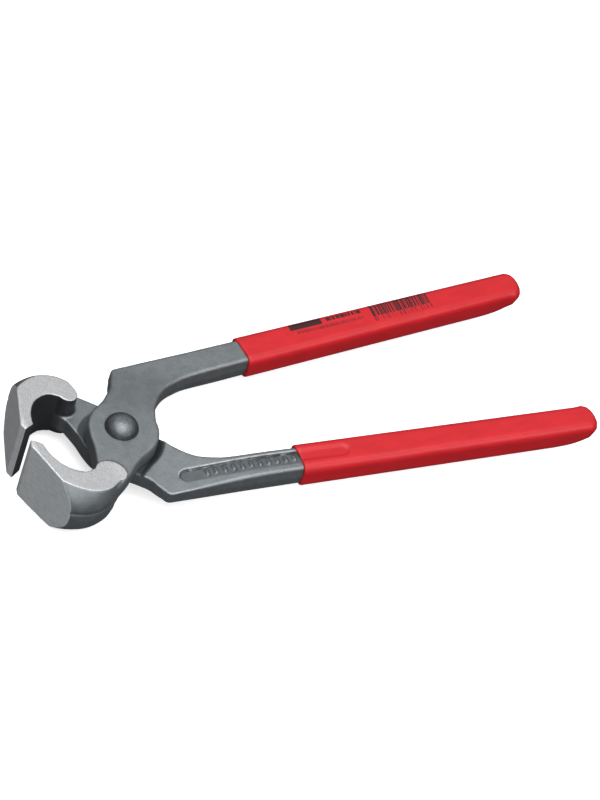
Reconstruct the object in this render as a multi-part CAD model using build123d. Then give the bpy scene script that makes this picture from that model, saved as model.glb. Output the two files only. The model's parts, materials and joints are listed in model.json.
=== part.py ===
from build123d import *
import math
import os

# End-cutting pincers: two crossed levers on one rivet, two dip-coated grips.
# Built about the pivot axis with the parting plane at Z = 0, then moved once.
# +X runs to the handle ends, +Y towards the front lever's handle, +Z to the rivet head.

# Driving dimensions, millimetres
JAW_WIDTH = 26.0        # across the cutting edges
JAW_REACH = 36.9        # pivot to the outermost point of the edge bevel
EDGE_GAP = 4.6          # between the cutting edges in the rest pose
SIDE_TAPER = 0.214      # side grind: half width lost per mm towards the pivot
LAP = 7.0               # thickness of one lever at the joint
LAP_GAP = 0.05          # each lap face stands off the parting plane
HANDLE_T = 8.6          # bare handle thickness under the grip
SHOULDER = (9.4, 27.4)  # outer corner where the handle begins
SHOULDER_TURN = (8.0, 26.8)
SHOULDER_SIDE = (7.2, 25.4)
SHOULDER_TOP = 3.6      # height of its front face there
SHOULDER_LOW = -1.0     # and of its lap side
EVEN_FROM = 46.0        # full handle thickness from here on
HANDLE_END = 173.0      # pivot to the bare handle's far end
GRIP_SKIN = 1.0         # dip coating
GRIP_START = 57.6       # where the coating begins
GRIP_LEAN = 4.0         # slope of its edge
GRIP_INNER = (56.0, 19.3)
GRIP_OUTER = (56.0, 30.0)
END_X = 166.5
END_INNER = 27.1
END_OUTER = 36.5
GRIP_R = 3.2
HANDLE_R = 1.7
LAP_R = 0.9
PANEL_W = 5.2           # sunk panel on the handle
PANEL_DEPTH = 0.5
PANEL_ENDS = (16.8, 21.4), (74.0, 25.7)
BOSS_R = 13.3
BOSS_LOW = (6.6, -11.4)
CROTCH = [(15.0, 4.8), (17.8, 9.0), (22.8, 13.7), (29.2, 16.3), (36.0, 17.6)]
FLAT_R = 9.0            # flat seat round the rivet head
RIVET_R = 4.0
RIVET_RUN = 0.05        # radial running clearance in the turning lever
HEAD_R = 6.1
HEAD_H = 3.7
TAIL_R = 5.2
TAIL_H = 1.3
TAIL_GAP = 0.1          # under the closed end of the rivet
SWING_CLEAR = 0.35      # round the other lever's lap
OPEN_ANGLE = 8.0        # rest pose to fully open

HALF = JAW_WIDTH / 2
HANDLE_H = HANDLE_T / 2
EDGE_Y = EDGE_GAP / 2
GRIP_END = HANDLE_END + GRIP_SKIN
SHIFT = Location(((JAW_REACH - GRIP_END) / 2, 0, HALF))

# Jaw edge, seen in plan for the front lever's lower jaw
EDGE = (-36.1, -EDGE_Y)
EDGE_OUT = (-JAW_REACH, -EDGE_Y - 2.6)
EDGE_IN = (-32.3, -EDGE_Y - 2.0)
BEVEL_LEAN = 18.0       # outer grind against the jaw's height
THROAT = [EDGE_IN, (-31.0, -9.4), (-27.4, -14.5), (-21.5, -17.2), (-17.0, -16.0)]


def slab(face, low, high):
    """A flat face pulled up from one height to another."""
    return extrude(Pos(0, 0, low) * face, amount=high - low)


def lap_face():
    """Joint plate: shoulder, boss and neck."""
    left = Spline(SHOULDER_SIDE, (5.6, 22.4), (3.9, 19.0), (-1.3, 13.4), (-6.6, 9.8), (-10.3, 5.4),
                  (-11.9, 0.0), (-12.6, -5.5), (-14.2, -12.0))
    root = Polyline((-14.2, -12.0), (-17.0, -16.0), (-20.0, -26.0), (-11.0, -25.4))
    neck = Spline((-11.0, -25.4), (-5.2, -20.2), (0.6, -14.9), BOSS_LOW)
    boss = ThreePointArc(BOSS_LOW, (11.6, -6.6), (BOSS_R, 0.0))
    inner = Spline((BOSS_R, 0.0), *CROTCH, tangents=[(0, 1), (1, 0.12)])
    top = Polyline(CROTCH[-1], (CROTCH[-1][0], 28.9), SHOULDER)
    corner = ThreePointArc(SHOULDER, SHOULDER_TURN, SHOULDER_SIDE)
    return make_face([left, root, neck, boss, inner, top, corner])


def handle_face():
    """Handle from the shoulder to its rounded end."""
    inner = Spline(*CROTCH, GRIP_INNER, tangents=[(0.8, 1), (1, 0.07)])
    outer = Polyline(GRIP_OUTER, SHOULDER)
    corner = ThreePointArc(SHOULDER, SHOULDER_TURN, SHOULDER_SIDE)
    root = Polyline(SHOULDER_SIDE, (3.9, 19.0), (6.0, 6.0), CROTCH[0])
    return make_face([inner, *far_outline(0), outer, corner, root])


def far_outline(skin):
    """Both long sides and the rounded end, from where the grip begins."""
    start = (GRIP_INNER[0], GRIP_INNER[1] - skin)
    low = (END_X, END_INNER - skin)
    high = (END_X, END_OUTER + skin)
    tip = (HANDLE_END + skin, (END_INNER + END_OUTER) / 2)
    stop = (GRIP_OUTER[0], GRIP_OUTER[1] + skin)
    return [Line(start, low), ThreePointArc(low, tip, high), Line(high, stop)]


def jaw_section(z, drop, nose_end, nose_tip, nose_out):
    """Claw outline at one height; drop lowers the crowned back."""
    edge = Polyline(EDGE, EDGE_IN)
    throat = Spline(*THROAT)
    nose = ThreePointArc(THROAT[-1], nose_end, nose_tip)
    shoulder = Line(nose_tip, nose_out)
    back = Spline(nose_out, (-15.5, -28.0 + 0.6 * drop), (-24.0, -29.4 + drop),
                  (-33.5, -24.5 + 0.9 * drop), (-41.5, -10.0))
    face = Line((-41.5, -10.0), EDGE)
    return Pos(0, 0, z) * make_face([edge, throat, nose, shoulder, back, face])


def jaw_half(nose_end, nose_tip, nose_out):
    """Upper half of the jaw, crowned towards its side."""
    levels = [(0.0, 0.0), (5.0, 0.5), (9.0, 2.4), (HALF, 6.5)]
    return loft([jaw_section(z, drop, nose_end, nose_tip, nose_out) for z, drop in levels])


def jaw():
    """Claw with ground sides, ground outer bevel and cutting edge."""
    near = jaw_half((-9.6, -13.4), (-6.2, -19.4), (-9.2, -24.0))
    far = mirror(jaw_half((-13.0, -13.8), (-9.6, -18.4), (-10.8, -23.0)), about=Plane.XY)
    claw = near + far
    lean = math.degrees(math.atan(SIDE_TAPER))
    for side in (1, -1):
        block = Pos(0, 0, side * 20) * Box(120, 120, 40)
        claw -= Pos(-35, 0, side * HALF) * Rot(0, side * lean, 0) * block
    bevel = Rot(0, 0, -90 + BEVEL_LEAN) * Pos(0, -20, 0) * Box(120, 40, 60)
    outer = Pos(*EDGE_OUT, 0) * bevel
    tip = math.degrees(math.atan2(EDGE_OUT[1] - EDGE[1], EDGE_OUT[0] - EDGE[0]))
    lip = Pos(*EDGE, 0) * Rot(0, 0, tip) * Pos(0, -20, 0) * Box(60, 40, 60)
    return claw - outer - lip


def swing():
    """Space for the other lever's boss and neck, from closed to fully open."""
    neck = Polyline((6.9, 11.7), (0.9, 15.3), (-4.9, 20.6), (-12.0, 27.0), (-40.0, 27.0),
                    (-12.0, 4.0), (6.9, 11.7))
    face = Circle(BOSS_R + SWING_CLEAR) + Rot(0, 0, -OPEN_ANGLE) * make_face(neck)
    return slab(face, -HALF - 1, LAP_GAP)


def side_profile(top, low, half, end):
    """Handle seen from the side, thinner at the shoulder, rounded at the end."""
    points = [(-20, top), (SHOULDER[0], top), (EVEN_FROM, half), (end, half), (end, -half),
              (EVEN_FROM, -half), (SHOULDER[0], low), (-20, low)]
    face = Plane.XZ * make_face(Polyline(*points, close=True))
    profile = extrude(face, amount=60, both=True)
    corners = profile.edges().filter_by(Axis.Y).group_by(Axis.X)[-1]
    return fillet(corners, half * 0.8)


def handle_bar():
    """Handle with rounded edges; the grip covers its far part."""
    bar = slab(handle_face(), -HANDLE_H, HANDLE_H)
    edges = bar.edges().filter_by(lambda e: abs(e.center().Z) > HANDLE_H - 0.1)
    bar = fillet(edges, HANDLE_R)
    return bar & side_profile(SHOULDER_TOP, SHOULDER_LOW, HANDLE_H, HANDLE_END)


def lap_plate():
    """Joint plate with a rounded rim, its face running down a slope to the shoulder."""
    plate = slab(lap_face(), LAP_GAP, LAP)
    rim = plate.edges().filter_by(lambda e: e.center().Z > LAP - 0.1 and e.center().X > -14.1)
    plate = fillet(rim, LAP_R)
    towards = math.atan2(SHOULDER[1], SHOULDER[0])
    run = math.hypot(*SHOULDER) - FLAT_R
    slope = math.degrees(math.atan((LAP - SHOULDER_TOP) / run))
    block = Pos(0, 0, 20) * Box(160, 120, 40)
    turned = Rot(0, 0, math.degrees(towards)) * Pos(FLAT_R, 0, LAP) * Rot(0, slope, 0)
    return plate - turned * block


def panel():
    """Sunk panel along the handle, on the face away from the lap."""
    line = Line(*PANEL_ENDS)
    strip = SlotCenterToCenter(line.length, PANEL_W)
    turn = math.degrees(math.atan2((line % 0).Y, (line % 0).X))
    face = Pos(line @ 0.5) * Rot(0, 0, turn) * strip
    tilt = math.degrees(math.atan((HANDLE_H + SHOULDER_LOW) / (EVEN_FROM - SHOULDER[0])))
    near = slab(face, -HANDLE_H - 1, PANEL_DEPTH)
    near = Pos(EVEN_FROM, 0, -HANDLE_H) * Rot(0, tilt, 0) * Pos(-EVEN_FROM, 0, 0) * near
    far = slab(face, -HANDLE_H - 1, -HANDLE_H + PANEL_DEPTH)
    half = Pos(EVEN_FROM - 100, 0, 0) * Box(200, 200, 60)
    return (near & half) + (far - half)


def lever(bore_r):
    """One forging: jaw, neck, half-lapped boss and handle."""
    body = lap_plate() + handle_bar() + jaw()
    body -= swing()
    body -= panel()
    return body - Cylinder(bore_r, 60)


def grip():
    """Dip coating over the handle, following it closely."""
    sides = far_outline(GRIP_SKIN)
    ends = Line(sides[2] @ 1, sides[0] @ 0)
    skin = slab(make_face([*sides, ends]), -HANDLE_H - GRIP_SKIN, HANDLE_H + GRIP_SKIN)
    rim = HANDLE_H + GRIP_SKIN - 0.1
    skin = fillet(skin.edges().filter_by(lambda e: abs(e.center().Z) > rim), GRIP_R)
    thick = HANDLE_H + GRIP_SKIN
    skin &= side_profile(thick, -thick, thick, GRIP_END)
    cut = Pos(GRIP_START, 24, 0) * Rot(0, 0, GRIP_LEAN) * Pos(-60, 0, 0) * Box(120, 120, 60)
    return skin - cut - handle_bar()


def rivet():
    """Domed head in front, closed flat behind."""
    ball = (HEAD_R ** 2 + HEAD_H ** 2) / (2 * HEAD_H)
    dome = Pos(0, 0, LAP + HEAD_H - ball) * Sphere(ball)
    head = dome & Pos(0, 0, LAP + HEAD_H / 2) * Cylinder(HEAD_R, HEAD_H)
    low = -LAP - TAIL_GAP - TAIL_H
    shank = Pos(0, 0, (LAP + low) / 2) * Cylinder(RIVET_R, LAP - low)
    tail = Pos(0, 0, low + TAIL_H / 2) * Cylinder(TAIL_R, TAIL_H)
    tail = fillet(tail.edges().group_by(Axis.Z)[0], TAIL_H * 0.7)
    return head + shank + tail


def place(part, name):
    """Moves a piece to the shared frame and writes it."""
    moved = SHIFT * part
    moved.label = name
    export_step(moved, "parts/" + name + ".step")


os.makedirs("parts", exist_ok=True)
FLIP = Rot(180, 0, 0)
place(lever(RIVET_R), "front_lever")
place(FLIP * lever(RIVET_R + RIVET_RUN), "back_lever")
place(grip(), "upper_grip")
place(FLIP * grip(), "lower_grip")
place(rivet(), "rivet")
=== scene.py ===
"""Carpenters' pincers: forged levers, dipped grips and a domed rivet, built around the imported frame.

Shapes are signed distances in millimetres about the pivot, with the parting plane at z = 0, as in the
part's own source. Both levers are the same forging: the back one is the front one turned over about X.
"""

import json
import math

import bpy
import numpy as np
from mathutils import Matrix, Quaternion, Vector


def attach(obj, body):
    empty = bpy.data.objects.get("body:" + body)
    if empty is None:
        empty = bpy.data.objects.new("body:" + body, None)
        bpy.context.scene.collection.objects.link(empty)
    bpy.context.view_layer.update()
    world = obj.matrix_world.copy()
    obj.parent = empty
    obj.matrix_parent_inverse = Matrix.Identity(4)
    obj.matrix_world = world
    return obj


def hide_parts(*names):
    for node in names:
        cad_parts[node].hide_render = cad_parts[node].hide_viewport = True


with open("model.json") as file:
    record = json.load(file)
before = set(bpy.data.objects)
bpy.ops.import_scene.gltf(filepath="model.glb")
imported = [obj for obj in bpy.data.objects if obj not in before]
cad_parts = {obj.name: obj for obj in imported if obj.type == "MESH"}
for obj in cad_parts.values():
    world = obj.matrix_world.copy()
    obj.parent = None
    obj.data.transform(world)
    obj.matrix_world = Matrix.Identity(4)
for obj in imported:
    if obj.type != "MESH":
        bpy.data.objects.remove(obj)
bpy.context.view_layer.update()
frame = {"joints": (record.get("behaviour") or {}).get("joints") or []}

MM = 0.001
PIVOT = Vector(frame["joints"][0]["pos_m"])
PITCH = 0.42                # mesh spacing on the levers
GRIP_PITCH = 0.45
FINE_PITCH = 0.3            # and on the rivet
DARK_REACH = 0.6            # how far the dark scale and painted shade reach out of the throat and the recess
WEAR_AND_SHADE_REACH = 0.8            # how near an edge shows its wear, and a corner its painted shade, on the surface

# Driving dimensions, millimetres
HALF = 13.0                 # half the width of the jaws
EDGE = (-36.1, -2.3)        # cutting edge of the front lever's jaw
EDGE_OUT = (-36.9, -4.9)    # where the lip behind it meets the bevel
EDGE_IN = (-32.3, -4.3)     # where its inner face meets the throat
BEVEL_LEAN = math.radians(18)
SIDE_TAPER = 0.214
WIDEST_X = -35.0            # the ground sides narrow from here to the pivot
CROWN = 7.0                 # how far the jaw's back falls away at its sides
CROWN_POWER = 2.5
CROWN_X = (-41.5, -33.5, -24.0)
CROWN_SHARE = (0, 0.9, 1)   # of the crown, at each of those
SEAM_Z = 2.0                # forging seam round the jaw's back
SEAM_WIDE = 0.7
SEAM_DEEP = 0.35
LAP = 7.0                   # front face above the parting plane, at the rivet
LAP_GAP = 0.05              # lap face above it
LAP_FALL = (-14.0, 50.0)    # where the lap side falls away to the handle's back
LAP_BLEND = 100.0           # reach of that fall's start, times the shoulder's distance
FLAT_R = 9.0                # flat of the front face round the rivet
PLATE_EASE = 4.0            # softness of the bend where the flat ends
STEP_EASE = 1.0             # and where the slope meets the handle
BOSS_R = 13.3               # boss round the rivet
BOSS_LOW = (6.6, -11.4)
SWING_CLEAR = 0.35          # between the boss and the other lever's recess
OPEN_ANGLE = math.radians(8)
RAMP = 1.2                  # slope of the wall round the lap recess
RAMP_REACH = 2.4            # how far that wall spreads
SHOULDER = (9.4, 27.4)
SHOULDER_TURN = (8.0, 26.8)
SHOULDER_SIDE = (7.2, 25.4)
SHOULDER_TOP = 3.6          # front face there
THICKEN_BEFORE = 6.0        # the handle starts to thicken this far before the shoulder
EVEN_FROM = 46.0            # and has its full thickness from here
HANDLE_H = 4.3              # half the handle's thickness
RIM_R = 1.1                 # rounded edges of boss and handle
LAP_RIM_R = 0.3             # sharper beside the lap
LAP_RIM_X = (12.0, 30.0)    # between these it rounds up to the handle's
HANDLE_TIP_R = 3.6          # rounded edges of the bare tip
HANDLE_END = 173.0
HANDLE_STRETCH = 2.2        # of the bare tip's rounding, along the handle
TIP_STRETCH = (1.0, 2.8)    # of the coated tip's, above and below
TIP_BLEND = (12.0, 6.0)     # before and past END_X, where the tip's rims grow
TIP_ROUND = 0.95            # radius of the tip in side view, per half thickness
DRAFT = 0.12                # forging draft on the handle's sides
DRAFT_X = (14.0, 40.0)      # between these it comes in
GRIP_INNER = (56.0, 19.3)
GRIP_OUTER = (56.0, 30.0)
END_X = 166.5
END_INNER = 27.1
END_OUTER = 36.5
GRIP_SKIN = 1.0
GRIP_R = 3.0                # rounded edges of the coating
GRIP_TIP_R = 4.6            # and of its tip, underneath
GRIP_START = (57.6, 24.0)   # a place on the edge where the coating starts
CAP_SPARE = 0.5             # how far the tip's rounding in side view ends past its outline
UNDER_Z = 3.0               # above and below the middle, where the tip's halves blend
PANEL = ((16.8, 21.4), (74.0, 25.7))
PANEL_R = 2.6
PANEL_DEEP = 0.9            # along its inner side
PANEL_SHALLOW = 0.1         # along its outer side
RIB_ENDS = (24.0, 72.0)     # even row of plain raised ribs along the panel
RIB_STEP = 3.2
RIB_SIZE = (1.2, 2.6)
RIB_HIGH = 0.55
DENT = 0.6                  # of the coating over the sunk panel
DENT_RIM = (-1.2, 0.4)      # its slope, from inside the panel's rim to outside
RIVET_R = 4.0
HEAD_R = 6.1
HEAD_H = 3.7
HEAD_FLATTER = 1.5          # added to the dome's radius
TAIL_R = 5.2
TAIL_H = 1.3
TAIL_GAP = 0.1              # behind the lever
SHANK_INTO = 0.5            # how far the shank runs into head and tail

# Rounding where faces meet, millimetres
CLAW_ROUND = 0.8
GROUND_ROUND = 0.25         # round the ground sides and the bevel
LIP_ROUND = 0.15
NECK_ROUND = 1.0
RECESS_ROUND = 0.5
PANEL_ROUND = 0.1
RIB_ROUND = 0.4
RIB_TOP_ROUND = 0.15
GRIP_EDGE_ROUND = 0.5
HEAD_ROUND = 1.2
TAIL_ROUND = 0.8
TAIL_EDGE_ROUND = 0.1

# How far each finish reaches past its own face, millimetres
SIDE_SPARE = 0.15
CLAW_SPARE = 0.1
TIP_SPARE = 0.2
BEVEL_BEFORE = 8.0          # the bevel ends this far in front of the throat's end

# Boxes that hold each shape, millimetres about the pivot
LEVER_BOX = ((-37, 173.2), (-29.8, 37), (-13.1, 13.1))
GRIP_BOX = ((55, 175), (17, 38), (-5.4, 5.4))
RIVET_BOX = ((-6.2, 6.2), (-6.2, 6.2), (-8.6, 10.8))
JAW_UNTIL = -4.0            # no jaw past here along X
PANEL_FROM = 12.0           # and no sunk panel before here

# Colours and finishes
STEEL_DARK = (0.198, 0.217, 0.226, 1)
STEEL_LIGHT = (0.232, 0.253, 0.263, 1)
STEEL_SPECK = (0.36, 0.385, 0.395, 1)
STEEL_WORN = (0.6, 0.62, 0.63, 1)
# STEEL_DEEP: painted shade in corners and the sunk panel, and dark scale with painted shade by the throat
# and the recess
STEEL_DEEP = (0.045, 0.05, 0.052, 1)
GROUND_DARK = (0.57, 0.58, 0.585, 1)
GROUND_LIGHT = (0.78, 0.79, 0.795, 1)
HONED_DARK = (0.38, 0.40, 0.41, 1)
HONED_LIGHT = (0.54, 0.56, 0.57, 1)
RIVET_DARK = (0.085, 0.092, 0.096, 1)
# RIVET_LIGHT: colour of the painted highlight on the dome's top
RIVET_LIGHT = (0.25, 0.27, 0.28, 1)
RED = (0.56, 0.012, 0.018, 1)
RED_DEEP = (0.5, 0.01, 0.015, 1)
RED_SHADE = (0.2, 0.004, 0.008, 1)
INK = (0.012, 0.006, 0.007, 1)
FLOOR_LOW = (0.9, 0.9, 0.9, 1)
FLOOR_HIGH = (0.93, 0.93, 0.93, 1)
FLOOR_GLOW = 0.6
NOISE_SPAN = (0.3, 0.7)     # where most of a noise's values lie
STEEL_ROUGH = (0.42, 0.48)
STEEL_METALLIC = 0.8
HONED_METALLIC = 0.2
RIVET_ROUGH = (0.34, 0.46)
RIVET_METALLIC = 0.85
RIVET_HIGHLIGHT_START = 0.55         # share of the dome's height where its painted highlight starts
GRIP_ROUGH = (0.36, 0.46)
STEEL_BUMP = 0.05           # depths in millimetres
RIVET_BUMP = 0.35
GRIP_BUMP = 0.12

# Print on the upper grip: its line, and blocks as ends, edges, step, gap and strength
PRINT_LINE = 31.0           # across the lever, where the coating starts
PRINT_LEAN = 0.0588         # slope of the line along the handle
PRINT_SOFT = 0.15           # softness of a block's edges
BAR_SOFT = 0.08             # and of its bars
PRINT_BLOCKS = [
    ((78, 91), (-4.2, -1.1), 0, 0, 0.95),
    ((80, 107), (-6.3, -5.0), 0.5, 0.40, 0.5),
    ((93, 107), (-3.6, -1.9), 0.7, 0.40, 0.95),
    ((111, 135), (-6.4, -0.5), 0.55, 0.43, 1.0),
    ((111, 135), (-8.6, -6.4), 0.8, 0.53, 0.7),
]

# Studio: name, azimuth, elevation, distance, size and power of each softbox
LIGHTS = [
    ("top", -130, 80, 1.0, 1.0, 9),
    ("rim", -55, 36, 1.2, 0.45, 2.2),
    ("near_fill", -112, 22, 1.2, 0.8, 3.2),
    ("left_fill", 200, 4, 1.1, 0.5, 2.0),
]
WORLD_HIGH = (0.56, 0.56, 0.57, 1)
WORLD_LOW = (0.095, 0.095, 0.1, 1)
WORLD_RISE = 0.6

# Camera: angles in degrees, aim in millimetres from the pivot, reach in metres
CAMERA_ANGLES = (-129.51, 47.13)
CAMERA_ROLL = 20.17
CAMERA_AIM = (71.2, 2.0, 0)
CAMERA_REACH = 1.5319
CAMERA_LENS = 198.1


# ---- outlines ----

def curve(*points, steps=5):
    """Points on a smooth curve through the given ones, without the last."""
    knots = np.array([points[0], *points, points[-1]], float)
    found = []
    for a, b, c, d in zip(knots, knots[1:], knots[2:], knots[3:]):
        for t in np.arange(steps) / steps:
            bend = (2 * a - 5 * b + 4 * c - d) * t ** 2 + (3 * b - a - 3 * c + d) * t ** 3
            found.append(b + 0.5 * ((c - a) * t + bend))
    return found


def arc(first, middle, last, steps=8):
    """Points on the circle through three points, without the last."""
    a, b, c = (complex(*p) for p in (first, middle, last))
    w = (c - a) / (b - a)
    centre = (b - a) * (w - abs(w) ** 2) / (2j * w.imag) + a
    sweep = np.angle((b - centre) / (a - centre)) + np.angle((c - centre) / (b - centre))
    turned = [centre + (a - centre) * np.exp(1j * sweep * k / steps) for k in range(steps)]
    return [(p.real, p.imag) for p in turned]


def far_sides(skin):
    """Handle's long sides and round end, grown by the coating."""
    low = (END_X, END_INNER - skin)
    high = (END_X, END_OUTER + skin)
    tip = (HANDLE_END + skin, (END_INNER + END_OUTER) / 2)
    return [(GRIP_INNER[0], GRIP_INNER[1] - skin), *arc(low, tip, high), high,
            (GRIP_OUTER[0], GRIP_OUTER[1] + skin)]


LEVER_OUTLINE = [
    *curve(SHOULDER_SIDE, (5.6, 22.4), (3.9, 19.0), (-1.3, 13.4), (-6.6, 9.8), (-10.3, 5.4),
           (-11.9, 0.0), (-12.6, -5.5), (-14.2, -12.0)),
    (-14.2, -12.0), (-17.0, -16.0), (-20.0, -22.0),
    *curve((-11.0, -24.4), (-5.2, -20.2), (0.6, -14.9), BOSS_LOW),
    *arc(BOSS_LOW, (11.6, -6.6), (BOSS_R, 0.0)),
    *curve((BOSS_R, 0.0), (15.0, 4.8), (17.8, 9.0), (22.8, 13.7), (29.2, 16.3), (36.0, 17.6), GRIP_INNER),
    *far_sides(0), *arc(SHOULDER, SHOULDER_TURN, SHOULDER_SIDE, steps=4),
]
GRIP_OUTLINE = far_sides(GRIP_SKIN)
THROAT = curve(EDGE_IN, (-31.0, -9.4), (-27.4, -14.5), (-21.5, -17.2), (-17.0, -16.0))
BEYOND = 60.0               # clear of the claw on every side
BEFORE_EDGE = (-56.1, 8.2)  # well in front of the cutting edge
BACK = [*curve((-9.6, -23.4), (-15.5, -28.0), (-24.0, -29.4), (-33.5, -24.5), (-41.5, -10.0)),
        (-41.5, -10.0), (-41.5, 30.0), (10.0, 30.0), (10.0, -23.4)]
NECK_SWING = [(6.9, 11.7), (0.9, 15.3), (-4.9, 20.6), (-12.0, 27.0), (-40.0, 27.0), (-12.0, 4.0)]


def opening(nose_side, nose_tip, nose_out):
    """All that lies on the claw's open side: throat, nose and beyond."""
    nose = arc((-17.0, -16.0), nose_side, nose_tip)
    return [BEFORE_EDGE, EDGE, *THROAT, *nose, nose_tip, nose_out, (nose_out[0], -BEYOND),
            (BEYOND, -BEYOND), (BEYOND, BEYOND), (BEFORE_EDGE[0], BEYOND)]


NOSE_END = (-6.2, -19.4)
NOSE_CHANGE = (-1.0, 3.0)   # across the width, from the far half's opening to the near one's
NEAR_OPENING = opening((-9.6, -13.4), NOSE_END, (-9.2, -24.0))
FAR_OPENING = opening((-13.0, -13.8), (-9.6, -18.4), (-10.8, -23.0))


# ---- signed distances ----

def outline_distance(x, y, outline):
    """Distance in plan to a closed outline, negative inside it."""
    nearest = np.inf
    inside = False
    for (ax, ay), (bx, by) in zip(outline, [*outline[1:], outline[0]]):
        ex, ey = bx - ax, by - ay
        if ex == 0 and ey == 0:
            continue
        wx, wy = x - ax, y - ay
        along = np.clip((wx * ex + wy * ey) / (ex * ex + ey * ey), 0, 1)
        nearest = np.minimum(nearest, (wx - along * ex) ** 2 + (wy - along * ey) ** 2)
        if ey != 0:
            inside = inside ^ (((ay > y) != (by > y)) & (wx < wy * ex / ey))
    return np.where(inside, -1, 1) * np.sqrt(nearest)


def both(a, b, r):
    """Where both shapes are, their common edge rounded."""
    return np.minimum(np.maximum(a, b), -r) + np.hypot(np.maximum(a + r, 0), np.maximum(b + r, 0))


def either(a, b, r):
    """Where either shape is, the corner between them filleted."""
    return np.maximum(np.minimum(a, b), r) - np.hypot(np.maximum(r - a, 0), np.maximum(r - b, 0))


def ease(value, low, high):
    """0 below low, 1 above high, smooth between."""
    t = np.clip((value - low) / (high - low), 0, 1)
    return t * t * (3 - 2 * t)


def soft_over(value, k):
    """value where it is positive, easing to 0 below."""
    return (value + np.hypot(value, k)) / 2


def fullness(x):
    """0 at the shoulder, 1 where the handle has its full thickness."""
    return ease(x, SHOULDER[0] - THICKEN_BEFORE, EVEN_FROM)


def towards_tip(x):
    """0 along the handle, 1 at its very end."""
    return ease(x, END_X - TIP_BLEND[0], END_X + TIP_BLEND[1])


def front_height(x, y):
    """Lever's front face: flat round the rivet, sloping to the handle."""
    length = math.hypot(*SHOULDER)
    slope = (LAP - SHOULDER_TOP) / (length - FLAT_R)
    beyond = (x * SHOULDER[0] + y * SHOULDER[1]) / length - FLAT_R
    on_plate = LAP - slope * soft_over(beyond, PLATE_EASE)
    on_handle = SHOULDER_TOP + (HANDLE_H - SHOULDER_TOP) * fullness(x)
    return on_handle + soft_over(on_plate - on_handle, STEP_EASE)


def lap_height(x, y):
    """Lever's lap side: the parting plane as far as the pivot, then the handle's."""
    past = ease(x * SHOULDER[0] + y * SHOULDER[1], -LAP_BLEND, LAP_BLEND)
    return LAP_GAP - (HANDLE_H + LAP_GAP) * ease(x, *LAP_FALL) * past


def bar(x, y, z):
    """Neck, boss and handle in one, with drafted sides and rounded rims."""
    top, low = front_height(x, y), lap_height(x, y)
    off = abs(z - (top + low) / 2)
    side = outline_distance(x, y, LEVER_OUTLINE) + DRAFT * off * ease(x, *DRAFT_X)
    flat = rounded_end(x, off, HANDLE_END, (top - low) / 2, HANDLE_STRETCH)
    lap_rim = LAP_RIM_R + (RIM_R - LAP_RIM_R) * ease(x, *LAP_RIM_X)
    rim = np.where(z > (top + low) / 2, RIM_R, lap_rim)
    return both(side, flat, rim + (HANDLE_TIP_R - RIM_R) * towards_tip(x))


def handle(x, y, z):
    """The bar beyond the joint, which the grip covers."""
    return np.maximum(bar(x, y, z), EVEN_FROM - x)


def rounded_end(x, off, end, half, stretch):
    """Slab of a half thickness whose far end is rounded in side view, stretched along the handle."""
    r = half * TIP_ROUND
    past = np.maximum(x - end + r * stretch, 0) / stretch
    return np.hypot(past, np.maximum(off - half + r, 0)) - r


def side_plane(x, z):
    """Ground sides of the jaw."""
    half = HALF - SIDE_TAPER * (x - WIDEST_X)
    return np.maximum((abs(z) - half) / math.hypot(1, SIDE_TAPER), abs(z) - HALF)


def bevel_plane(x, y):
    """Ground outer face behind the cutting edge."""
    return -math.cos(BEVEL_LEAN) * (x - EDGE_OUT[0]) - math.sin(BEVEL_LEAN) * (y - EDGE_OUT[1])


def lip_plane(x, y):
    """Narrow face between the cutting edge and the bevel."""
    dx, dy = EDGE[0] - EDGE_OUT[0], EDGE[1] - EDGE_OUT[1]
    return (dx * (y - EDGE[1]) - dy * (x - EDGE[0])) / math.hypot(dx, dy)


def open_side(x, y, z):
    """Distance in plan to the throat and nose, which differ between the two halves."""
    near = outline_distance(x, y, NEAR_OPENING)
    far = outline_distance(x, y, FAR_OPENING)
    return far + (near - far) * ease(z, *NOSE_CHANGE)


def claw(x, y, z):
    """Jaw before grinding: crowned back, round throat and noses."""
    crown = np.interp(x, CROWN_X, CROWN_SHARE) * CROWN * (abs(z) / HALF) ** CROWN_POWER
    back = outline_distance(x, y - crown, BACK)
    back = back + SEAM_DEEP * np.exp(-((z - SEAM_Z) / SEAM_WIDE) ** 2)
    return both(back, -open_side(x, y, z), CLAW_ROUND)


def jaw(x, y, z):
    """Claw with its ground faces."""
    body = both(claw(x, y, z), side_plane(x, z), GROUND_ROUND)
    body = both(body, bevel_plane(x, y), GROUND_ROUND)
    return both(body, lip_plane(x, y), LIP_ROUND)


def swing(x, y, z):
    """Room for the other lever's lap, with a sloping wall."""
    c, s = math.cos(OPEN_ANGLE), math.sin(OPEN_ANGLE)
    neck = outline_distance(c * x - s * y, s * x + c * y, NECK_SWING)
    room = np.minimum(np.hypot(x, y) - BOSS_R - SWING_CLEAR, neck)
    wall = (room - np.clip(-RAMP * z, 0, RAMP_REACH)) / math.hypot(1, RAMP)
    return np.maximum(wall, z - LAP_GAP)


def panel_frame(x, y):
    """Places along the sunk panel from its start, and across it from its middle."""
    (ax, ay), (bx, by) = PANEL
    length = math.hypot(bx - ax, by - ay)
    ux, uy = (bx - ax) / length, (by - ay) / length
    return (x - ax) * ux + (y - ay) * uy, (y - ay) * ux - (x - ax) * uy, length


def panel_plan(x, y):
    """Distance in plan to the panel's rim."""
    along, across, length = panel_frame(x, y)
    past = np.maximum(np.maximum(-along, along - length), 0)
    return np.hypot(past, across) - PANEL_R


def panel_floor(x, y):
    """Height of the sunk panel's floor, deeper along its inner side."""
    across = np.clip(panel_frame(x, y)[1] / PANEL_R, -1, 1)
    deep = (PANEL_DEEP + PANEL_SHALLOW) / 2 - across * (PANEL_DEEP - PANEL_SHALLOW) / 2
    return lap_height(x, y) + deep


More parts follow.
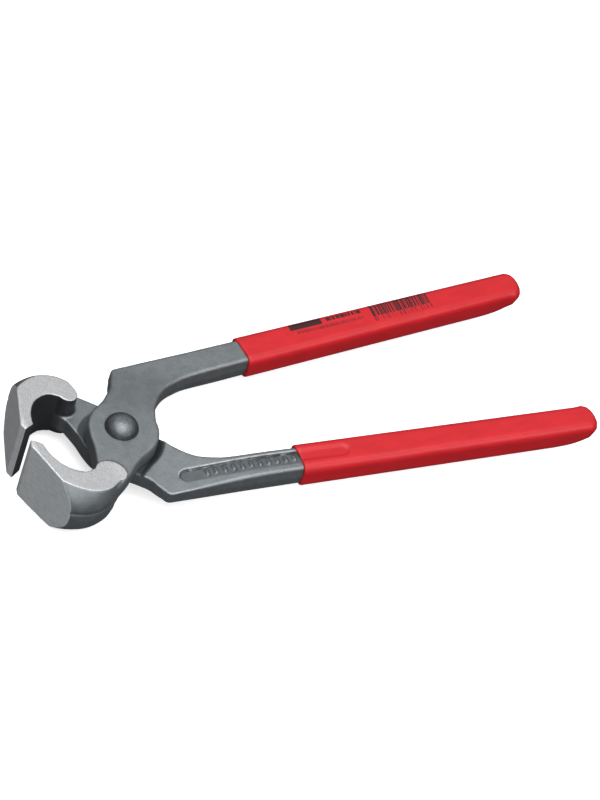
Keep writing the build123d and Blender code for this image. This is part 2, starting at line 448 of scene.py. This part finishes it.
def ribs(x, y, z):
    """Plain raised ribs on the panel's floor."""
    along, across, _ = panel_frame(x, y)
    first, last = (end - PANEL[0][0] for end in RIB_ENDS)
    places = first + RIB_STEP * np.round((np.clip(along, first, last) - first) / RIB_STEP)
    nearest = abs(along - places)
    plan = both(nearest - RIB_SIZE[0] / 2, abs(across) - RIB_SIZE[1] / 2, RIB_ROUND)
    above = z - panel_floor(x, y)
    return np.maximum(both(plan, -RIB_HIGH - above, RIB_TOP_ROUND), above - RIB_HIGH)


def lever(x, y, z):
    """One forging."""
    body = bar(x, y, z)
    if np.min(x) < JAW_UNTIL:
        body = either(body, jaw(x, y, z), NECK_ROUND)
    body = both(body, -swing(x, y, z), RECESS_ROUND)
    if np.max(x) > PANEL_FROM:
        hollow = np.maximum(panel_plan(x, y), z - panel_floor(x, y))
        sunk = both(body, -hollow, PANEL_ROUND)
        body = np.minimum(sunk, np.maximum(ribs(x, y, z), panel_plan(x, y)))
    return np.maximum(body, RIVET_R - np.hypot(x, y))


def grip(lean, under):
    """Dip coating whose edge leans by an angle; its tip tapers on the underside, at z of the sign given."""
    nx, ny = math.cos(lean), math.sin(lean)

    def field(x, y, z):
        below = ease(z * under, -UNDER_Z, UNDER_Z)
        stretch = TIP_STRETCH[0] + (TIP_STRETCH[1] - TIP_STRETCH[0]) * below
        end = HANDLE_END + GRIP_SKIN + CAP_SPARE
        cap = rounded_end(x, abs(z), end, HANDLE_H + GRIP_SKIN, stretch)
        rim = GRIP_R + (GRIP_TIP_R - GRIP_R) * towards_tip(x) * below
        body = both(outline_distance(x, y, GRIP_OUTLINE), cap, rim)
        body = body + DENT * (1 - ease(panel_plan(x, y), *DENT_RIM)) * (z < 0)
        start = nx * (GRIP_START[0] - x) + ny * (GRIP_START[1] - y)
        return np.maximum(both(body, start, GRIP_EDGE_ROUND), -handle(x, y, z))
    return field


def rivet(x, y, z):
    """Domed head in front, closed flat behind."""
    r = np.hypot(x, y)
    ball = (HEAD_R ** 2 + HEAD_H ** 2) / (2 * HEAD_H) + HEAD_FLATTER
    dome = np.sqrt(x * x + y * y + (z - LAP - HEAD_H + ball) ** 2) - ball
    head = np.maximum(both(r - HEAD_R, dome, HEAD_ROUND), LAP - z)
    shank = np.maximum(r - RIVET_R, abs(z) - LAP - SHANK_INTO)
    tail = both(r - TAIL_R, -LAP - TAIL_H - TAIL_GAP - z, TAIL_ROUND)
    tail = both(tail, z + LAP + TAIL_GAP, TAIL_EDGE_ROUND)
    return np.minimum(np.minimum(head, shank), tail)


# ---- meshing ----

SLOPE_STEP = 0.02           # apart, for measuring a field's slope
LEAST_SLOPE = 0.2           # the slope's square is taken as no less than this
MOST_MOVE = 0.3             # of a point in one round


def corners(box, pitch):
    """Grid lines along each axis of a box, with a margin."""
    return [np.arange(low - 2 * pitch, high + 3 * pitch, pitch) for low, high in box]


def sample(field, axes):
    """Field on the grid, worked out in slices."""
    xs, ys, zs = axes
    y, z = ys[None, :, None], zs[None, None, :]
    shape = (len(ys), len(zs))
    slices = [field(np.full((1, 1, 1), x), y, z).reshape(-1, *shape) for x in xs]
    return np.concatenate(slices)


def net(value, axes, pitch):
    """One point per crossed cell, and a quad round each crossed grid edge."""
    inside = value < 0
    near = [slice(None, -1), slice(1, None)]
    cell = [(i, j, k) for i in (0, 1) for j in (0, 1) for k in (0, 1)]
    count = sum(inside[near[i], near[j], near[k]].astype(np.int8) for i, j, k in cell)
    at = np.argwhere((count > 0) & (count < 8))
    number = np.full(count.shape, -1)
    number[tuple(at.T)] = np.arange(len(at))
    total = np.zeros((len(at), 3))
    crossings = np.zeros(len(at))
    for axis in range(3):
        for start in (c for c in cell if c[axis] == 0):
            end = np.array(start) + np.eye(3, dtype=int)[axis]
            a = value[tuple((at + start).T)]
            b = value[tuple((at + end).T)]
            crossed = (a < 0) != (b < 0)
            share = np.where(crossed, a / np.where(crossed, a - b, 1), 0)
            place = np.array(start) + share[:, None] * np.eye(3)[axis]
            total += place * crossed[:, None]
            crossings += crossed
    points = (at + total / crossings[:, None]) * pitch + [a[0] for a in axes]
    quads = []
    for axis in range(3):
        step = np.eye(3, dtype=int)[axis]
        u, v = np.eye(3, dtype=int)[(axis + 1) % 3], np.eye(3, dtype=int)[(axis + 2) % 3]
        low = inside[tuple(slice(0, n - s) for n, s in zip(inside.shape, step))]
        high = inside[tuple(slice(s, n) for n, s in zip(inside.shape, step))]
        for first in (True, False):
            e = np.argwhere((low == first) & (high != first))
            ring = [e - u - v, e - v, e, e - u]
            quad = np.stack([number[tuple(c.T)] for c in ring], 1)
            quads.append(quad if first else quad[:, ::-1])
    return points, np.concatenate(quads)


def settle(points, field, rounds=3):
    """Moves points onto the surface."""
    h = SLOPE_STEP
    for _ in range(rounds):
        x, y, z = points.T
        here = field(x, y, z)
        slope = np.stack([field(x + h, y, z) - here, field(x, y + h, z) - here,
                          field(x, y, z + h) - here], 1) / h
        size = np.maximum((slope ** 2).sum(1), LEAST_SLOPE)
        move = -(here / size)[:, None] * slope
        reach = np.maximum(np.linalg.norm(move, axis=1), 1e-9)
        points = points + move * np.minimum(1, MOST_MOVE / reach)[:, None]
    return points


def mesh_from(name, field, box, pitch):
    """Mesh of a field's surface, in metres about the pivot."""
    axes = corners(box, pitch)
    points, quads = net(sample(field, axes), axes, pitch)
    points = settle(points, field)
    mesh = bpy.data.meshes.new(name)
    mesh.from_pydata((points * MM).tolist(), [], quads.tolist())
    mesh.polygons.foreach_set("use_smooth", [True] * len(mesh.polygons))
    return mesh, points


def add_piece(name, mesh, body, node, turned):
    """Places a mesh at the pivot, as a piece that stands for a CAD node."""
    piece = bpy.data.objects.new(name, mesh)
    bpy.context.scene.collection.objects.link(piece)
    piece.location = PIVOT
    piece.rotation_euler = (math.pi if turned else 0, 0, 0)
    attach(piece, body)
    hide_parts(node)
    return piece


def note(mesh, name, values):
    """Stores one number per point for a material to read."""
    mesh.attributes.new(name, "FLOAT", "POINT").data.foreach_set("value", values.astype(np.float32))


def note_wear_and_shade(mesh, points, field):
    """Marks the edges that wear bright and the corners that get painted shade, 0 on flat faces."""
    normals = np.empty(len(points) * 3)
    mesh.vertex_normals.foreach_get("vector", normals)
    step = WEAR_AND_SHADE_REACH * normals.reshape(-1, 3)
    note(mesh, "edge", field(*(points - step).T) / WEAR_AND_SHADE_REACH + 1)
    note(mesh, "corner", 1 - field(*(points + step).T) / WEAR_AND_SHADE_REACH)


def note_finish(mesh, points):
    """Depth in millimetres into the ground faces and into the faces painted dark, negative elsewhere:
    painted shade with dark scale by the throat and the recess, painted shade in the sunk panel.
    """
    x, y, z = points.T
    note(mesh, "side_ground", np.minimum(side_plane(x, z) + SIDE_SPARE, CLAW_SPARE - claw(x, y, z)))
    tip = np.maximum(bevel_plane(x, y), lip_plane(x, y)) + TIP_SPARE
    note(mesh, "bevel_ground", np.where(x < THROAT[-1][0] - BEVEL_BEFORE, tip, -1))
    # Painted shade with dark scale by the throat and the recess.
    throat = DARK_REACH - abs(open_side(x, y, z))
    throat = np.where((x < NOSE_END[0]) & (y > NOSE_END[1]), throat, -1)
    recess = DARK_REACH - abs(swing(x, y, z))
    note(mesh, "dark", np.maximum(throat, recess))
    # Painted shade in the sunk panel.
    note(mesh, "sunk", np.where(z < 0, -panel_plan(x, y), -1))


# ---- materials ----

def new_material(name):
    """Material with its node tree and main shader."""
    material = bpy.data.materials.new(name)
    material.use_nodes = True
    tree = material.node_tree
    return material, tree, tree.nodes["Principled BSDF"]


def put(tree, socket, value):
    """Links another node's output to a socket, or sets a plain value on it."""
    if isinstance(value, bpy.types.NodeSocket):
        tree.links.new(value, socket)
    else:
        socket.default_value = value


def maths(tree, operation, a, b=0.0):
    """Sum, product or the like of two values."""
    node = tree.nodes.new("ShaderNodeMath")
    node.operation = operation
    put(tree, node.inputs[0], a)
    put(tree, node.inputs[1], b)
    return node.outputs[0]


def between(tree, value, low, high, start=0.0, end=1.0):
    """start below low, end above high, smooth between."""
    node = tree.nodes.new("ShaderNodeMapRange")
    node.interpolation_type = "SMOOTHSTEP"
    for name, number in (("Value", value), ("From Min", low), ("From Max", high), ("To Min", start),
                         ("To Max", end)):
        put(tree, node.inputs[name], number)
    return node.outputs["Result"]


def blend(tree, share, a, b):
    """Colour a where share is 0 and b where it is 1."""
    node = tree.nodes.new("ShaderNodeMix")
    node.data_type = "RGBA"
    put(tree, node.inputs[0], share)
    put(tree, node.inputs[6], a)
    put(tree, node.inputs[7], b)
    return node.outputs[2]


def local_place(tree):
    """Place on the piece, in metres."""
    return tree.nodes.new("ShaderNodeTexCoord").outputs["Object"]


def noted(tree, name):
    """One of the numbers stored on the mesh."""
    node = tree.nodes.new("ShaderNodeAttribute")
    node.attribute_name = name
    return node.outputs["Fac"]


def noise(tree, place, size, detail=3.0, turn=(0, 0, 0)):
    """Noise about 0.5, its features of a size in millimetres along each axis."""
    mapping = tree.nodes.new("ShaderNodeMapping")
    mapping.inputs["Rotation"].default_value = turn
    mapping.inputs["Scale"].default_value = [1 / (length * MM) for length in size]
    tree.links.new(place, mapping.inputs["Vector"])
    node = tree.nodes.new("ShaderNodeTexNoise")
    node.inputs["Scale"].default_value = 1.0
    node.inputs["Detail"].default_value = detail
    node.inputs["Roughness"].default_value = 0.6
    tree.links.new(mapping.outputs["Vector"], node.inputs["Vector"])
    return node.outputs["Fac"]


def bump(tree, shader, height, depth):
    """Raises the surface by a height between 0 and 1, times a depth in millimetres."""
    node = tree.nodes.new("ShaderNodeBump")
    node.inputs["Strength"].default_value = 1.0
    node.inputs["Distance"].default_value = depth * MM
    put(tree, node.inputs["Height"], height)
    tree.links.new(node.outputs["Normal"], shader.inputs["Normal"])


def forged_steel():
    """Dark forged steel, its jaws ground bright, worn along the edges, with painted shade in its corners
    and sunk panel, and painted shade with dark scale by the throat and the recess.
    """
    material, tree, shader = new_material("forged_steel")
    place = local_place(tree)
    patches = noise(tree, place, (3.2, 3.2, 3.2))
    grain = noise(tree, place, (0.45, 0.45, 0.45), detail=4.0)
    steel = blend(tree, between(tree, patches, *NOISE_SPAN), STEEL_DARK, STEEL_LIGHT)
    steel = blend(tree, between(tree, grain, 0.35, 0.75, 0.0, 0.35), steel, STEEL_SPECK)
    sunk = between(tree, noted(tree, "sunk"), 0.0, 0.3)
    # Painted shade in the sunk panel.
    steel = blend(tree, maths(tree, "MULTIPLY", sunk, 0.25), steel, STEEL_DEEP)
    edge = maths(tree, "MULTIPLY", between(tree, noted(tree, "edge"), 0.12, 0.45),
                 between(tree, grain, 0.3, 0.6, 0.35, 1.0))
    edge = maths(tree, "MULTIPLY", edge, maths(tree, "SUBTRACT", 1.0, sunk))
    steel = blend(tree, maths(tree, "MULTIPLY", edge, 0.6), steel, STEEL_WORN)
    # Painted shade in corners and creases.
    steel = blend(tree, between(tree, noted(tree, "corner"), 0.08, 0.5, 0.0, 0.85), steel, STEEL_DEEP)
    # Painted shade with dark scale by the throat and the recess.
    steel = blend(tree, between(tree, noted(tree, "dark"), 0.0, 0.5, 0.0, 0.8), steel, STEEL_DEEP)

    marks = noise(tree, place, (0.3, 1.2, 1.0), turn=(0, 0, 0.9))
    spots = noise(tree, place, (0.8, 0.8, 0.8), detail=5.0)
    bright = blend(tree, between(tree, marks, *NOISE_SPAN), GROUND_DARK, GROUND_LIGHT)
    bright = blend(tree, between(tree, spots, 0.5, 0.75, 0.0, 0.6), bright, GROUND_DARK)
    fine = noise(tree, place, (3.0, 3.0, 0.25), turn=(0, 0.3, 0))
    honed = blend(tree, between(tree, fine, *NOISE_SPAN), HONED_DARK, HONED_LIGHT)

    on_side = between(tree, noted(tree, "side_ground"), 0.0, 0.12)
    on_tip = between(tree, noted(tree, "bevel_ground"), 0.0, 0.12)
    colour = blend(tree, on_tip, blend(tree, on_side, steel, bright), honed)
    ground = maths(tree, "MAXIMUM", on_side, on_tip)
    put(tree, shader.inputs["Base Color"], colour)
    metallic = between(tree, on_tip, 0.0, 1.0, STEEL_METALLIC, HONED_METALLIC)
    put(tree, shader.inputs["Metallic"], metallic)
    put(tree, shader.inputs["Roughness"], between(tree, patches, *NOISE_SPAN, *STEEL_ROUGH))
    low = maths(tree, "MULTIPLY", grain, maths(tree, "SUBTRACT", 1.0, ground))
    scratches = maths(tree, "MULTIPLY", marks, maths(tree, "MULTIPLY", on_side, 0.5))
    bump(tree, shader, maths(tree, "ADD", low, scratches), STEEL_BUMP)
    return material


def rivet_steel():
    """Dark oiled steel, its dome lightly hammered, with a painted highlight that lightens it towards the
    top.
    """
    material, tree, shader = new_material("rivet_steel")
    place = local_place(tree)
    parts = tree.nodes.new("ShaderNodeSeparateXYZ")
    tree.links.new(place, parts.inputs[0])
    dents = noise(tree, place, (2.4, 2.4, 2.4), detail=2.0)
    grain = noise(tree, place, (0.4, 0.4, 0.4), detail=4.0)
    # Painted highlight on the dome's top.
    painted_highlight = between(tree, parts.outputs["Z"], (LAP + HEAD_H * RIVET_HIGHLIGHT_START) * MM, (LAP + HEAD_H) * MM)
    painted_highlight = maths(tree, "MULTIPLY", painted_highlight, between(tree, grain, *NOISE_SPAN, 0.5, 1.0))
    put(tree, shader.inputs["Base Color"], blend(tree, painted_highlight, RIVET_DARK, RIVET_LIGHT))
    put(tree, shader.inputs["Metallic"], RIVET_METALLIC)
    put(tree, shader.inputs["Roughness"], between(tree, dents, *NOISE_SPAN, *RIVET_ROUGH))
    height = maths(tree, "ADD", dents, maths(tree, "MULTIPLY", grain, 0.15))
    bump(tree, shader, height, RIVET_BUMP)
    return material


def inside_band(tree, value, low, high):
    """1 where a value in millimetres lies between two others, with soft ends."""
    above = between(tree, value, low - PRINT_SOFT, low + PRINT_SOFT)
    below = between(tree, value, high - PRINT_SOFT, high + PRINT_SOFT, 1.0, 0.0)
    return maths(tree, "MULTIPLY", above, below)


def noise_line(tree, value):
    """Uneven wave about 0.5 along a line, about one to a unit."""
    node = tree.nodes.new("ShaderNodeTexNoise")
    node.noise_dimensions = "1D"
    node.inputs["Scale"].default_value = 1.0
    node.inputs["Detail"].default_value = 1.0
    tree.links.new(value, node.inputs["W"])
    return node.outputs["Fac"]


def print_marks(tree, place):
    """Generic print: one solid bar, and rows broken into plain bars of uneven width."""
    parts = tree.nodes.new("ShaderNodeSeparateXYZ")
    tree.links.new(place, parts.inputs[0])
    along, across, up = (maths(tree, "DIVIDE", parts.outputs[axis], MM) for axis in "XYZ")
    lean = maths(tree, "MULTIPLY", maths(tree, "SUBTRACT", along, GRIP_INNER[0]), PRINT_LEAN)
    across = maths(tree, "SUBTRACT", maths(tree, "SUBTRACT", across, PRINT_LINE), lean)
    ink = between(tree, up, 0.0, 1.0)
    total = 0.0
    for (low, high), (bottom, top), step, gap, strength in PRINT_BLOCKS:
        block = maths(tree, "MULTIPLY", inside_band(tree, along, low, high),
                      inside_band(tree, across, bottom, top))
        if step:
            turns = maths(tree, "DIVIDE", maths(tree, "SUBTRACT", along, low), step)
            wave = noise_line(tree, turns)
            block = maths(tree, "MULTIPLY", block, between(tree, wave, gap, gap + BAR_SOFT))
        total = maths(tree, "MAXIMUM", total, maths(tree, "MULTIPLY", block, strength))
    return maths(tree, "MULTIPLY", ink, total)


def grip_coating(name, printed):
    """Smooth red dip coating with faint sags and a soft shine."""
    material, tree, shader = new_material(name)
    place = local_place(tree)
    sags = noise(tree, place, (9.0, 4.0, 4.0), detail=2.0)
    pores = noise(tree, place, (0.6, 0.6, 0.6), detail=3.0)
    colour = blend(tree, between(tree, sags, *NOISE_SPAN), RED_DEEP, RED)
    # Painted shade in the coating's corners.
    colour = blend(tree, between(tree, noted(tree, "corner"), 0.1, 0.6, 0.0, 0.8), colour, RED_SHADE)
    if printed:
        colour = blend(tree, print_marks(tree, place), colour, INK)
    put(tree, shader.inputs["Base Color"], colour)
    put(tree, shader.inputs["Roughness"], between(tree, pores, *NOISE_SPAN, *GRIP_ROUGH))
    put(tree, shader.inputs["Specular IOR Level"], 0.35)
    put(tree, shader.inputs["Coat Weight"], 0.12)
    put(tree, shader.inputs["Coat Roughness"], 0.3)
    height = maths(tree, "ADD", sags, maths(tree, "MULTIPLY", pores, 0.08))
    bump(tree, shader, height, GRIP_BUMP)
    return material


def floor_paint():
    """Plain pale matt floor with a faint unevenness."""
    material, tree, shader = new_material("floor_paint")
    cloud = noise(tree, local_place(tree), (60, 60, 60))
    put(tree, shader.inputs["Base Color"], blend(tree, cloud, FLOOR_LOW, FLOOR_HIGH))
    put(tree, shader.inputs["Roughness"], 0.9)
    put(tree, shader.inputs["Emission Color"], (1, 1, 1, 1))
    put(tree, shader.inputs["Emission Strength"], FLOOR_GLOW)
    return material


# ---- pieces ----

def add_levers():
    """One forging, placed twice: once as it is and once turned over."""
    forging, points = mesh_from("forging", lever, LEVER_BOX, PITCH)
    note_wear_and_shade(forging, points, lever)
    note_finish(forging, points)
    forging.materials.append(forged_steel())
    add_piece("front_forging", forging, "front", "front_lever", False)
    add_piece("back_forging", forging.copy(), "back", "back_lever", True)


def add_grip(name, body, node, lean, printed):
    """Coating on one handle."""
    field = grip(math.radians(lean), 1 if body == "back" else -1)
    mesh, points = mesh_from(name, field, GRIP_BOX, GRIP_PITCH)
    note_wear_and_shade(mesh, points, field)
    mesh.materials.append(grip_coating(name + "_red", printed))
    add_piece(name, mesh, body, node, body == "back")


def add_rivet():
    """The rivet the levers turn on."""
    mesh, _ = mesh_from("rivet_body", rivet, RIVET_BOX, FINE_PITCH)
    mesh.materials.append(rivet_steel())
    add_piece("rivet_body", mesh, "front", "rivet", False)


# ---- stage ----

def add_floor():
    """Floor, seen by the camera but adding no light of its own to the steel."""
    mesh = bpy.data.meshes.new("floor")
    reach = 3.0
    square = [(-reach, -reach, 0), (reach, -reach, 0), (reach, reach, 0), (-reach, reach, 0)]
    mesh.from_pydata(square, [], [(0, 1, 2, 3)])
    floor = bpy.data.objects.new("floor", mesh)
    bpy.context.scene.collection.objects.link(floor)
    mesh.materials.append(floor_paint())
    floor.visible_diffuse = False
    floor.visible_glossy = False


def from_angles(azimuth, elevation):
    """Unit vector towards an azimuth and elevation in degrees."""
    a, e = math.radians(azimuth), math.radians(elevation)
    return Vector((math.cos(e) * math.cos(a), math.cos(e) * math.sin(a), math.sin(e)))


def add_camera():
    """Long lens, tilted a little about its own axis."""
    camera = bpy.data.objects.new("camera", bpy.data.cameras.new("camera"))
    bpy.context.scene.collection.objects.link(camera)
    back = from_angles(*CAMERA_ANGLES)
    aim = PIVOT + Vector(CAMERA_AIM) * MM
    camera.data.lens = CAMERA_LENS
    camera.rotation_mode = "QUATERNION"
    roll = Quaternion((0, 0, 1), math.radians(CAMERA_ROLL))
    camera.rotation_quaternion = (-back).to_track_quat("-Z", "Y") @ roll
    camera.location = aim + back * CAMERA_REACH
    bpy.context.scene.camera = camera


def add_light(name, azimuth, elevation, distance, size, energy):
    """Softbox that looks at the object's middle."""
    light = bpy.data.objects.new(name, bpy.data.lights.new(name, "AREA"))
    light.data.energy = energy
    light.data.size = size
    light.location = from_angles(azimuth, elevation) * distance
    light.rotation_mode = "QUATERNION"
    light.rotation_quaternion = (-light.location).to_track_quat("-Z", "Y")
    bpy.context.scene.collection.objects.link(light)


def add_world():
    """Studio surround: pale above, dark below."""
    world = bpy.data.worlds.new("studio")
    bpy.context.scene.world = world
    world.use_nodes = True
    tree = world.node_tree
    parts = tree.nodes.new("ShaderNodeSeparateXYZ")
    tree.links.new(tree.nodes.new("ShaderNodeTexCoord").outputs["Generated"], parts.inputs[0])
    surround = tree.nodes["Background"]
    rise = between(tree, parts.outputs["Z"], 0.0, WORLD_RISE)
    put(tree, surround.inputs["Color"], blend(tree, rise, WORLD_LOW, WORLD_HIGH))


add_levers()
add_grip("upper_coating", "front", "upper_grip", lean=7, printed=True)
add_grip("lower_coating", "back", "lower_grip", lean=1, printed=False)
add_rivet()
add_floor()
add_camera()
add_world()
for light in LIGHTS:
    add_light(*light)
bpy.context.scene.view_settings.view_transform = "Standard"
